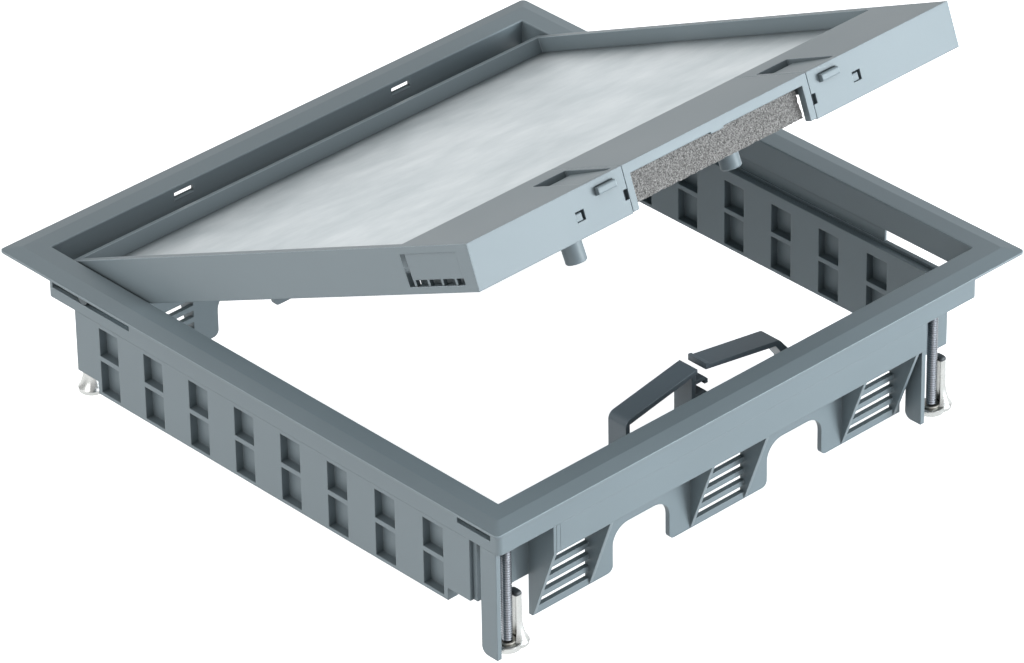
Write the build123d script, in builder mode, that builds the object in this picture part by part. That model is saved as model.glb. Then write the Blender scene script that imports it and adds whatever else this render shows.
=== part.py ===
# Floor service outlet: a square floor frame with clamps, a hinged lid with a cord flap,
# and a cable bridge inside the front wall.
#
# Axes: X runs along the front edge, Y from the front to the hinge side, Z up.
# Origin: centre of the frame, on the floor surface under the flange.
# The lid is drawn closed and flat, then every lid piece is turned to its rest position.

import math
import os

from build123d import *

os.makedirs("parts", exist_ok=True)

# Driving dimensions, all in millimetres and degrees

# Flange and collar
flange_lap = 12.0
flange_edge = 0.8
flange_height = 2.2
flange_bevel = 6.0
flange_corner = 2.0
land_corner = 1.0
collar_width = 240.0
collar_wall = 1.6
collar_depth = 18.5
collar_corner = 2.0
opening_chamfer = 0.3

# Ledges that the closed lid rests on
ledge_gap = 0.3

# Guide slots for the hinge pins
guide_height = 5.2
guide_centre = 11.6
guide_groove = 0.6
guide_front_inset = 45.6
guide_back_inset = 2.7
short_slot_front_inset = 21.0
short_slot_back_inset = 4.3

# Keeper slots for the latch noses
keeper_clearance = 0.6

# Side walls with pockets
side_wall_thickness = 4.7
side_wall_end_gap = 15.0
side_wall_bottom = 49.4
side_step_length = 11.4
side_step_bottom = 44.2
pocket_end_gap = 18.55
pocket_width = 10.3
pocket_skin = 1.2
pocket_top = 20.2
pocket_rib_top = 32.3
pocket_rib = 2.0
pocket_foot = 1.4
outer_pockets = 8

# End walls with ladders, fins and arches
band_thickness = 2.0
band_bottom = 30.0
band_left_inset = 3.25
band_right_lap = 1.3
shelf_thickness = 2.0
recess_set_back = 11.0
recess_wall = 2.0
recess_bottom = 61.0
recess_right_lap = 2.15
ladder_from_corner = 42.55
ladder_offset = -2.3
ladders = 3
ladder_rungs = 4
slot_pitch = 5.05
slot_height = 2.9
slot_lowest = 56.6
fin_thickness = 1.5
fin_spacing = 27.3
arch_width = 28.0
arch_top = 43.0
arch_corner = 7.5
arch_foot_corner = 2.5
gusset_thickness = 1.5
gusset_bottom = 38.0

# Corner blades
blade_thickness = 2.0
blade_depth = 7.8
blade_bottom = 63.0
blade_inset = 1.7
blade_corner = 3.0

# Clamps
screw_radius = 2.0
screw_clearance = 0.2
screw_side_inset = 8.5
screw_from_band = 9.9
screw_front_inset = 5.8
screw_bottom = 65.4
screw_head_radius = 3.6
screw_head_height = 1.8
screw_head_chamfer = 0.5
head_pocket_depth = 1.2
head_pocket_clearance = 0.3
screw_boss_radius = 4.0
screw_boss_height = 1.8
drive_width = 1.1
drive_depth = 1.1
running_gap = 0.05
nut_radius = 3.3
nut_flange_radius = 3.9
nut_flange_height = 1.0
nut_length = 6.0
claw_bottom = 66.8
claw_base_height = 4.0
claw_base_radius = 5.2
claw_cone_height = 8.0
claw_reach = 9.0
claw_toe_radius = 3.6
claw_post_inner = 2.9
claw_post_outer = 6.3
claw_post_width = 4.4
claw_top = 41.0
cap_height = 2.8
cap_overhang = 0.35
cap_chamfer = 0.6

# Cable bridge and gate
bridge_wall_gap = 8.0
bridge_width = 9.0
bridge_strap = 1.9
bridge_bend_x = 38.5
bridge_bend_z = 10.5
bridge_tip_z = 4.4
bridge_tip_left = 3.0
gate_tip_gap = 4.2
bridge_foot = 36.0
bridge_corner = 3.0
hook_leg_x = 5.8
hook_reach = 8.0
hook_prong = 1.5
hook_upper = 9.0
hook_lower = 14.6
hook_lip = 1.6
gate_rib = 0.7
gate_rib_width = 1.6
gate_pivot_x = 48.0
gate_pivot_z = 25.0
gate_pin_radius = 1.5
gate_eye_radius = 3.2
gate_boss_radius = 3.6
gate_side_gap = 0.3

# Lid, drawn closed
lid_side_gap = 0.9
lid_front_gap = 1.0
lid_back_gap = 0.7
lid_height = 17.4
lid_draft = 1.3
lid_wall = 2.7
lid_skin = 2.4
lid_rim_depth = 38.8
lid_back_rim = 3.5
lid_recess = 6.0
lid_floor = 2.0
lid_heel_radius = 3.0
lid_rib = 1.5
lid_rib_bottom = 13.0
lid_rib_pitch = 62.0
step_wall = 2.0
plate_thickness = 1.0
plate_gap = 0.3
plate_corner = 1.0

# Hinge pins
pin_radius = 2.0
pin_boss_radius = 3.0
pin_boss_length = 3.0
pin_head_radius = 2.5
pin_from_back = 3.1
pin_head_gap = 0.1

# Rest pose of the lid
lid_angle = 25.1
lid_slide_per_degree = 0.57

# Side blanks
blank_front = 7.5
blank_back_inset = 0.3
blank_top = 2.8
blank_bottom = 14.8
blank_gap = 0.2
blank_thickness = 1.7
blank_inset = 0.3
blank_back_gap = 2.5
blank_lower_gap = 2.4
blank_teeth = 4
blank_tooth = 1.1
blank_last_tooth_inset = 3.2
blank_first_tooth = 12.5

# Lid feet
foot_radius = 4.0
foot_bottom = 34.0
foot_chamfer = 0.5
foot_from_cut = 1.2
foot_left_set_back = 0.1
foot_right_set_back = 18.2

# Cord flap and foam
flap_half_width = 44.9
flap_gap = 0.3
flap_bar = 3.8
flap_bar_depth = 3.0
flap_leg = 2.8
flap_leg_bottom = 17.0
flap_tab_width = 6.0
flap_tab_drop = 0.7
flap_back_gap = 0.2
flap_pivot_inset = 1.8
flap_pivot_below = 1.55
flap_pin_radius = 0.8
flap_pin_length = 1.7
flap_swing_room = 3.5
cheek_thickness = 1.6
cheek_bottom = 8.0
foam_end_gap = 0.5
foam_bottom = 15.5
foam_depth = 10.0
notch_width = 2.2
notch_top = 8.3
notch_bottom = 12.1

# Latches
latch_from_cut = 9.4
nose_width = 8.3
nose_top = 2.7
nose_bottom = 5.5
nose_reach = 1.7
nose_corner = 0.7
nose_window_gap = 0.2
latch_travel = 3.0
thumb_width = 15.0
thumb_front = 3.0
thumb_back_inset = 8.1
thumb_deep = 5.0
thumb_flush = 0.3
slide_bottom = 8.0
spring_room = 6.8
slide_gap = 0.3
rail_thickness = 1.5
rail_lip = 1.2
spring_strip = 0.5
spring_span = 12.0
spring_gap = 0.3
window_from_latch = 13.0
window_width = 4.0
window_top = 7.7
window_bottom = 11.5
window_hook = 1.6

# Sizes worked out from the driving dimensions

flange_width = collar_width + 2 * flange_lap
collar_half = collar_width / 2
opening_half = collar_half - collar_wall
shelf_bottom = collar_depth
shelf_top = collar_depth - shelf_thickness
guide_front_end = collar_half - guide_front_inset
guide_back_end = collar_half - guide_back_inset
short_slot_front = collar_half - short_slot_front_inset
short_slot_back = collar_half - short_slot_back_inset
side_inner = collar_half - side_wall_thickness
side_half_length = collar_half - side_wall_end_gap
pocket_pitch = 2 * (side_half_length - pocket_end_gap) / (outer_pockets - 1)
recess_outer = collar_half - recess_set_back
recess_inner = recess_outer - recess_wall
ladder_pitch = collar_half - ladder_from_corner
ladder_reach = ladder_pitch + (fin_spacing + fin_thickness) / 2
recess_left = ladder_reach - ladder_offset
recess_right = ladder_reach + ladder_offset + recess_right_lap
band_left = recess_left - band_left_inset
band_right = recess_right + band_right_lap
screw_outer_x = collar_half - screw_side_inset
screw_inner_x = band_right + screw_from_band
screw_y = collar_half - screw_front_inset
bridge_front = recess_inner - bridge_wall_gap
lid_half_width = opening_half - lid_side_gap
lid_front = -opening_half + lid_front_gap
lid_back = opening_half - lid_back_gap
lid_depth = lid_back - lid_front
lid_top = flange_height
lid_bottom = lid_top - lid_height
ledge_top = lid_bottom - ledge_gap
floor_top = lid_recess + plate_thickness
floor_bottom = floor_top + lid_floor
step_front = lid_rim_depth - step_wall
blank_back = lid_rim_depth - blank_back_inset
blank_tooth_pitch = (blank_back - blank_last_tooth_inset - blank_first_tooth) / (blank_teeth - 1)
foot_left_depth = lid_rim_depth + foot_left_set_back
foot_right_depth = lid_rim_depth + foot_right_set_back
flap_pivot_depth = lid_rim_depth - flap_pivot_inset
slide_back = step_front - spring_room
thumb_length = step_front - thumb_back_inset - thumb_front
pin_closed_y = lid_back - pin_from_back
pin_z = -guide_centre
pin_rest_y = pin_closed_y - lid_slide_per_degree * lid_angle
cut_half_width = flap_half_width + flap_gap
cheek_outer = cut_half_width + cheek_thickness
latch_centre = cut_half_width + latch_from_cut
foot_x = cut_half_width + foot_from_cut
window_x = latch_centre + window_from_latch
foam_half_width = flap_half_width - flap_leg - foam_end_gap
margin = 1.0
close = 0.1
lid_at_rest = Pos(0, pin_rest_y, pin_z) * Rot(X=-lid_angle) * Pos(0, -pin_closed_y, -pin_z)
half_turn = Rot(Z=180)


def at_depth(depth):
    """Y of a point that lies this far behind the lid's front top edge."""
    return lid_front + depth


def below(height):
    """Z of a point that lies this far below the lid's top."""
    return lid_top - height


def block(x_low, x_high, y_low, y_high, z_low, z_high, mode=Mode.ADD):
    """A plain block between two corners, for the part that is being built."""
    centre = ((x_low + x_high) / 2, (y_low + y_high) / 2, (z_low + z_high) / 2)
    with Locations(centre):
        Box(x_high - x_low, y_high - y_low, z_high - z_low, mode=mode)


def lid_block(x_low, x_high, depth_low, depth_high, top, bottom, mode=Mode.ADD):
    """A block in the closed lid, placed by depth from the front and height below the top."""
    block(x_low, x_high, at_depth(depth_low), at_depth(depth_high), below(bottom), below(top), mode)


def lid_profile(x_low, x_high, points, mode=Mode.ADD):
    """A profile in depth and height below the top, carried across the lid from x_low to x_high."""
    with BuildSketch(Plane.YZ.offset(x_low)) as outline:
        with BuildLine():
            Polyline([(at_depth(depth), below(height)) for depth, height in points], close=True)
        make_face()
    extrude(outline.sketch, amount=x_high - x_low, mode=mode)


def save(builder, name):
    """Label a finished piece and write it."""
    builder.part.label = name
    export_step(builder.part, "parts/" + name + ".step")


# Frame rim: the bevelled flange that lies on the floor, with the collar that hangs in the cut-out

with BuildPart() as frame_rim:
    with BuildSketch(Plane.XY):
        RectangleRounded(flange_width, flange_width, flange_corner)
    extrude(amount=flange_edge)
    with BuildSketch(Plane.XY.offset(flange_edge)):
        RectangleRounded(flange_width, flange_width, flange_corner)
    with BuildSketch(Plane.XY.offset(flange_height)):
        land = flange_width - 2 * flange_bevel
        RectangleRounded(land, land, land_corner)
    loft(ruled=True)
    with BuildSketch(Plane.XY):
        RectangleRounded(collar_width, collar_width, collar_corner)
    extrude(amount=-collar_depth)
    block(-opening_half, opening_half, -opening_half, opening_half,
          -collar_depth - margin, flange_height + margin, Mode.SUBTRACT)
    land_edges = frame_rim.edges().group_by(Axis.Z)[-1]
    inner_edges = [edge for edge in land_edges if abs(edge.center().X) < opening_half + margin
                   and abs(edge.center().Y) < opening_half + margin]
    chamfer(inner_edges, length=opening_chamfer)
    # A shallow groove and a through slot in each side guide the hinge pins
    guide_low = -guide_centre - guide_height / 2
    guide_high = -guide_centre + guide_height / 2
    groove = opening_half + guide_groove
    block(-groove, groove, -guide_back_end, guide_back_end, guide_low, guide_high, Mode.SUBTRACT)
    for side in (-1, 1):
        slot_mid = side * collar_half
        block(slot_mid - collar_wall - margin, slot_mid + collar_wall + margin,
              guide_front_end, guide_back_end, guide_low, guide_high, Mode.SUBTRACT)
    block(collar_half - collar_wall - margin, collar_half + margin,
          -guide_back_end, -guide_front_end, guide_low, guide_high, Mode.SUBTRACT)
    block(-collar_half - margin, -collar_half + collar_wall + margin,
          -short_slot_back, -short_slot_front, guide_low, guide_high, Mode.SUBTRACT)
    # Keeper slots for the latch noses, the same in front and at the back
    keeper_half = nose_width / 2 + keeper_clearance
    for keeper_x in (-latch_centre, latch_centre):
        block(keeper_x - keeper_half, keeper_x + keeper_half, -collar_half - margin, collar_half + margin,
              below(nose_bottom + keeper_clearance), below(nose_top - keeper_clearance / 2), Mode.SUBTRACT)
save(frame_rim, "frame_rim")

# Side walls: one wavy moulding each, with pockets in turn on the outside and on the inside.
# A ledge along the top, inside the collar, carries the closed lid.

wall_depth = side_wall_bottom - collar_depth
pocket_depth = side_wall_thickness - pocket_skin
upper_pocket = pocket_rib_top - pocket_top
lower_pocket_top = pocket_rib_top + pocket_rib
lower_pocket = side_wall_bottom - lower_pocket_top - pocket_foot

for side, side_name in ((-1, "left"), (1, "right")):
    outer_face = side * collar_half
    inner_face = side * side_inner
    with BuildPart() as side_wall:
        with BuildSketch(Plane.YZ.offset(min(outer_face, inner_face))):
            with BuildLine():
                foot_end = side_half_length - side_step_length
                Polyline(
                    (-side_half_length, -collar_depth),
                    (side_half_length, -collar_depth),
                    (side_half_length, -side_step_bottom),
                    (foot_end, -side_step_bottom),
                    (foot_end, -side_wall_bottom),
                    (-foot_end, -side_wall_bottom),
                    (-foot_end, -side_step_bottom),
                    (-side_half_length, -side_step_bottom),
                    close=True,
                )
            make_face()
        extrude(amount=side_wall_thickness)
        for face, count in ((outer_face, outer_pockets), (inner_face, outer_pockets - 1)):
            for top, height in ((pocket_top, upper_pocket), (lower_pocket_top, lower_pocket)):
                with Locations((face, 0, -top - height / 2)):
                    with GridLocations(1, pocket_pitch, 1, count):
                        Box(2 * pocket_depth, pocket_width, height, mode=Mode.SUBTRACT)
        collar_face = side * opening_half
        block(min(inner_face, collar_face), max(inner_face, collar_face), -side_half_length, side_half_length,
              -collar_depth, ledge_top)
    save(side_wall, "side_wall_" + side_name)

# End walls: band, shelf, recessed wall with slotted ladders, slanted fins and arches

with BuildPart() as end_wall:
    # Shelf that joins the band to the recessed wall and carries the clamp screws
    block(-opening_half, opening_half, -opening_half, -recess_inner, -shelf_bottom, -shelf_top)
    for side in (-1, 1):
        corner_inner = (recess_left if side < 0 else recess_right) - recess_wall
        low = min(side * corner_inner, side * opening_half)
        high = max(side * corner_inner, side * opening_half)
        block(low, high, -recess_inner, -side_half_length, -side_step_bottom, -shelf_top)
    block(-band_left, band_right, -collar_half, -collar_half + band_thickness, -band_bottom, -shelf_bottom)
    block(-recess_left, recess_right, -recess_outer, -recess_inner, -recess_bottom, -shelf_top)
    # Slanted fins on both sides of each ladder
    ladder_centres = [ladder_offset + step * ladder_pitch for step in (-1, 0, 1)]
    for centre in ladder_centres:
        for fin_side in (-1, 1):
            fin_x = centre + fin_side * fin_spacing / 2 - fin_thickness / 2
            with BuildSketch(Plane.YZ.offset(fin_x)):
                with BuildLine():
                    Polyline(
                        (-recess_inner, -shelf_bottom),
                        (-collar_half, -shelf_bottom),
                        (-collar_half, -band_bottom),
                        (-recess_outer, -recess_bottom),
                        (-recess_inner, -recess_bottom),
                        close=True,
                    )
                make_face()
            extrude(amount=fin_thickness)
    # Ladder slots
    slot_width = fin_spacing - fin_thickness
    slot_middle = slot_lowest - (ladder_rungs - 1) * slot_pitch / 2
    with Locations((ladder_offset, -recess_outer + recess_wall / 2, -slot_middle)):
        with GridLocations(ladder_pitch, 1, ladders, 1):
            for rung in range(ladder_rungs):
                rise = (rung - (ladder_rungs - 1) / 2) * slot_pitch
                with Locations((0, 0, rise)):
                    Box(slot_width, recess_wall + margin, slot_height, mode=Mode.SUBTRACT)
    # Arches between the ladders, open at the bottom
    for arch_x in (ladder_offset - ladder_pitch / 2, ladder_offset + ladder_pitch / 2):
        with BuildSketch(Plane.XZ.offset(recess_inner - margin)):
            with Locations((arch_x, -(arch_top + recess_bottom + arch_width) / 2)):
                RectangleRounded(arch_width, recess_bottom + arch_width - arch_top, arch_corner)
        extrude(amount=recess_wall + 2 * margin, mode=Mode.SUBTRACT)
        # Gusset under the band beside each arch
        with BuildSketch(Plane.YZ.offset(arch_x - arch_width / 2 - gusset_thickness)):
            with BuildLine():
                Polyline(
                    (-recess_inner, -shelf_bottom),
                    (-collar_half + band_thickness, -shelf_bottom),
                    (-collar_half + band_thickness, -band_bottom + margin),
                    (-recess_outer, -gusset_bottom),
                    (-recess_inner, -gusset_bottom),
                    close=True,
                )
            make_face()
        extrude(amount=gusset_thickness)
    foot_edges = end_wall.edges().filter_by(Axis.Y).filter_by(
        lambda edge: abs(edge.center().Z + recess_bottom) < close and
        abs(abs(edge.center().X - ladder_offset) - ladder_pitch / 2) < arch_width)
    fillet(foot_edges, arch_foot_corner)
    # Screw bosses with a pocket for the head
    boss_bottom = shelf_bottom + screw_boss_height
    for screw_x in (-screw_outer_x, screw_inner_x):
        with BuildSketch(Plane.XY.offset(-boss_bottom)):
            with Locations((screw_x, -screw_y)):
                Circle(screw_boss_radius)
        extrude(amount=screw_boss_height)
        with Locations(Plane((screw_x, -screw_y, -shelf_top))):
            CounterBoreHole(screw_radius + screw_clearance, screw_head_radius + head_pocket_clearance,
                            head_pocket_depth, depth=boss_bottom)
save(end_wall, "end_wall_front")

with BuildPart() as end_wall_back:
    add(end_wall.part.moved(half_turn))
save(end_wall_back, "end_wall_back")

# Corner blades: plates beside the clamps that stop the claws

blade_front_y = -collar_half + blade_inset
blade_places = (
    ("front_left", -collar_half, 1),
    ("front_right", band_right, 1),
    ("back_right", collar_half - blade_thickness, -1),
    ("back_left", -band_right - blade_thickness, -1),
)
for blade_name, blade_x, front in blade_places:
    with BuildPart() as corner_blade:
        outer_y = front * blade_front_y
        inner_y = front * (blade_front_y + blade_depth)
        block(blade_x, blade_x + blade_thickness, min(outer_y, inner_y), max(outer_y, inner_y),
              -blade_bottom, -collar_depth)
        toe = corner_blade.edges().filter_by(Axis.X).filter_by(
            lambda edge: abs(edge.center().Z + blade_bottom) < close and abs(edge.center().Y - inner_y) < close)
        fillet(toe, blade_corner)
    save(corner_blade, "corner_blade_" + blade_name)

# Clamps: screw, threaded bush, claw and cap, at the four corners

head_top = shelf_top + head_pocket_depth - screw_head_height
head_seat = shelf_top + head_pocket_depth
nut_bottom = claw_bottom - nut_flange_height
claw_base_top = claw_bottom - claw_base_height
clamp_places = (
    ("front_left", -screw_outer_x, -screw_y, 1),
    ("front_right", screw_inner_x, -screw_y, 1),
    ("back_right", screw_outer_x, screw_y, -1),
    ("back_left", -screw_inner_x, screw_y, -1),
)
for clamp_name, clamp_x, clamp_y, facing in clamp_places:
    with BuildPart() as clamp_screw:
        with BuildSketch(Plane.XY.offset(-screw_bottom)):
            with Locations((clamp_x, clamp_y)):
                Circle(screw_radius)
        extrude(amount=screw_bottom - head_seat)
        with BuildSketch(Plane.XY.offset(-head_seat)):
            with Locations((clamp_x, clamp_y)):
                Circle(screw_head_radius)
        extrude(amount=screw_head_height)
        head_edge = clamp_screw.edges().group_by(Axis.Z)[-1]
        chamfer(head_edge, screw_head_chamfer)
        with BuildSketch(Plane.XY.offset(-head_top)):
            with Locations((clamp_x, clamp_y)):
                Rectangle(2 * screw_radius, drive_width)
                Rectangle(drive_width, 2 * screw_radius)
        extrude(amount=-drive_depth, mode=Mode.SUBTRACT)
    save(clamp_screw, "clamp_screw_" + clamp_name)

    with BuildPart() as clamp_nut:
        with BuildSketch(Plane.XY.offset(-nut_bottom)):
            with Locations((clamp_x, clamp_y)):
                Circle(nut_radius)
                Circle(screw_radius + running_gap, mode=Mode.SUBTRACT)
        extrude(amount=nut_length - nut_flange_height)
        with BuildSketch(Plane.XY.offset(-claw_bottom)):
            with Locations((clamp_x, clamp_y)):
                Circle(nut_flange_radius)
                Circle(screw_radius + running_gap, mode=Mode.SUBTRACT)
        extrude(amount=nut_flange_height)
    save(clamp_nut, "clamp_nut_" + clamp_name)

    with BuildPart() as clamp_claw:
        # Round base with a toe that reaches under the floor plate
        with BuildSketch(Plane.XY.offset(-claw_bottom)) as claw_outline:
            with Locations((clamp_x, clamp_y)):
                Circle(claw_base_radius)
            with Locations((clamp_x + facing * (claw_reach - claw_toe_radius), clamp_y)):
                Circle(claw_toe_radius)
            make_hull()
        extrude(amount=claw_base_height)
        # Cone that carries the post beside the screw
        post_middle = (claw_post_inner + claw_post_outer) / 2
        post_depth = claw_post_outer - claw_post_inner
        cone_middle = -claw_base_top + claw_cone_height / 2
        with Locations((clamp_x + facing * post_middle, clamp_y, cone_middle)):
            Cone(claw_reach - post_middle, post_depth / 2, claw_cone_height)
        with BuildSketch(Plane.XY.offset(-claw_base_top)):
            with Locations((clamp_x + facing * post_middle, clamp_y)):
                Rectangle(post_depth, claw_post_width)
        extrude(amount=claw_base_top - claw_top)
        # Bore for the bush, open above it for the screw, with a pocket for the bush's flange
        with BuildSketch(Plane.XY.offset(-claw_bottom)):
            with Locations((clamp_x, clamp_y)):
                Circle(nut_radius + running_gap)
        extrude(amount=claw_bottom, mode=Mode.SUBTRACT)
        with BuildSketch(Plane.XY.offset(-claw_bottom)):
            with Locations((clamp_x, clamp_y)):
                Circle(nut_flange_radius + running_gap)
        extrude(amount=nut_flange_height + running_gap, mode=Mode.SUBTRACT)
    save(clamp_claw, "clamp_claw_" + clamp_name)

    with BuildPart() as claw_cap:
        with BuildSketch(Plane.XY.offset(-claw_top)):
            with Locations((clamp_x + facing * (post_middle + cap_overhang / 2), clamp_y)):
                Rectangle(post_depth + cap_overhang, claw_post_width + 2 * cap_overhang)
        extrude(amount=cap_height)
        cap_top_edges = claw_cap.edges().group_by(Axis.Z)[-1]
        chamfer(cap_top_edges, cap_chamfer)
    save(claw_cap, "claw_cap_" + clamp_name)

# Cable bridge: a fixed arch with a double hook at its middle leg, on the front wall's inner face

bridge_back = -bridge_front + bridge_width


def bridge_strip(points, rounded):
    """A strip profile across the bridge, with its named bends rounded, for the part being built."""
    with BuildSketch(Plane.XZ.offset(-bridge_back)) as strip:
        with BuildLine():
            Polyline(points, close=True)
        make_face()
        bends = [corner for corner in strip.vertices() for place, _ in rounded
                 if math.dist((corner.X, corner.Y), place) < close]
        for corner, (_, radius) in zip(bends, rounded):
            fillet(corner, radius)
    extrude(strip.sketch, amount=bridge_width)


with BuildPart() as cable_bridge:
    strap_slope = (bridge_bend_z - bridge_tip_z) / (bridge_bend_x - bridge_tip_left)
    bend_outside = (-bridge_bend_x, -bridge_bend_z)
    bend_inside = (-bridge_bend_x + bridge_strap, -bridge_bend_z - bridge_strap)
    bridge_strip(
        (
            (-bridge_bend_x, -bridge_foot),
            bend_outside,
            (-bridge_tip_left, -bridge_tip_z),
            (-bridge_tip_left, -bridge_tip_z - bridge_strap),
            bend_inside,
            (-bridge_bend_x + bridge_strap, -bridge_foot),
        ),
        ((bend_outside, bridge_corner),),
    )
    # Middle leg with an upper and a lower prong
    hook_right = hook_leg_x - hook_reach
    bridge_strip(
        (
            (-hook_leg_x, -bridge_foot),
            (-hook_leg_x, -bridge_tip_z - strap_slope * hook_leg_x),
            (-hook_leg_x + bridge_strap, -bridge_tip_z - strap_slope * hook_leg_x),
            (-hook_leg_x + bridge_strap, -bridge_foot),
        ),
        (),
    )
    for prong_top in (hook_upper, hook_lower):
        bridge_strip(
            (
                (-hook_leg_x + bridge_strap / 2, -prong_top),
                (-hook_right - hook_prong, -prong_top),
                (-hook_right, -prong_top - hook_prong),
                (-hook_right, -prong_top - hook_prong - hook_lip),
                (-hook_right - hook_prong, -prong_top - hook_prong - hook_lip),
                (-hook_right - hook_prong, -prong_top - hook_prong),
                (-hook_leg_x + bridge_strap / 2, -prong_top - hook_prong),
            ),
            (),
        )
    # Feet that join both legs to the end wall
    for leg_x in (-bridge_bend_x, -hook_leg_x):
        block(leg_x, leg_x + bridge_strap, -recess_inner, -bridge_front, -bridge_foot, -shelf_bottom)
save(cable_bridge, "cable_bridge")

# Gate pivot: a boss on the end wall with the pin that the cable gate turns on

with BuildPart() as gate_pivot:
    with BuildSketch(Plane.XZ.offset(bridge_front + gate_side_gap)):
        with Locations((gate_pivot_x, -gate_pivot_z)):
            Circle(gate_boss_radius)
    extrude(amount=recess_inner - bridge_front - gate_side_gap)
    with BuildSketch(Plane.XZ.offset(-bridge_back - gate_side_gap)):
        with Locations((gate_pivot_x, -gate_pivot_z)):
            Circle(gate_pin_radius)
    extrude(amount=bridge_width + 3 * gate_side_gap)
save(gate_pivot, "gate_pivot")

# Cable gate: the hinged strap that mirrors the fixed arch and closes against its hook

with BuildPart() as cable_gate:
    gate_tip = gate_tip_gap - bridge_tip_left
    gate_slope = (bridge_bend_z - bridge_tip_z) / (bridge_bend_x - gate_tip)
    gate_bend_outside = (bridge_bend_x, -bridge_bend_z)
    bridge_strip(
        (
            (gate_pivot_x, -gate_pivot_z),
            (gate_pivot_x + bridge_strap / 2, -gate_pivot_z + bridge_strap),
            gate_bend_outside,
            (gate_tip, -bridge_tip_z),
            (gate_tip, -bridge_tip_z - bridge_strap),
            (bridge_bend_x - bridge_strap, -bridge_bend_z - bridge_strap),
            (gate_pivot_x - bridge_strap, -gate_pivot_z),
        ),
        ((gate_bend_outside, bridge_corner),),
    )
    # Rib across the tip for the fingertip
    bridge_strip(
        (
            (gate_tip, -bridge_tip_z - bridge_strap / 2),
            (gate_tip, -bridge_tip_z + gate_rib),
            (gate_tip + gate_rib_width, -bridge_tip_z + gate_rib - gate_slope * gate_rib_width),
            (gate_tip + gate_rib_width, -bridge_tip_z - bridge_strap / 2),
        ),
        (),
    )
    with BuildSketch(Plane.XZ.offset(-bridge_back)):
        with Locations((gate_pivot_x, -gate_pivot_z)):
            Circle(gate_eye_radius)
    extrude(amount=bridge_width)
    with BuildSketch(Plane.XZ.offset(-bridge_back - margin)):
        with Locations((gate_pivot_x, -gate_pivot_z)):
            Circle(gate_pin_radius + running_gap)
    extrude(amount=bridge_width + 2 * margin, mode=Mode.SUBTRACT)
save(cable_gate, "cable_gate")

# Lid tray: moulded shell with the hollow front rim, the plate recess and stiffening ribs

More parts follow.
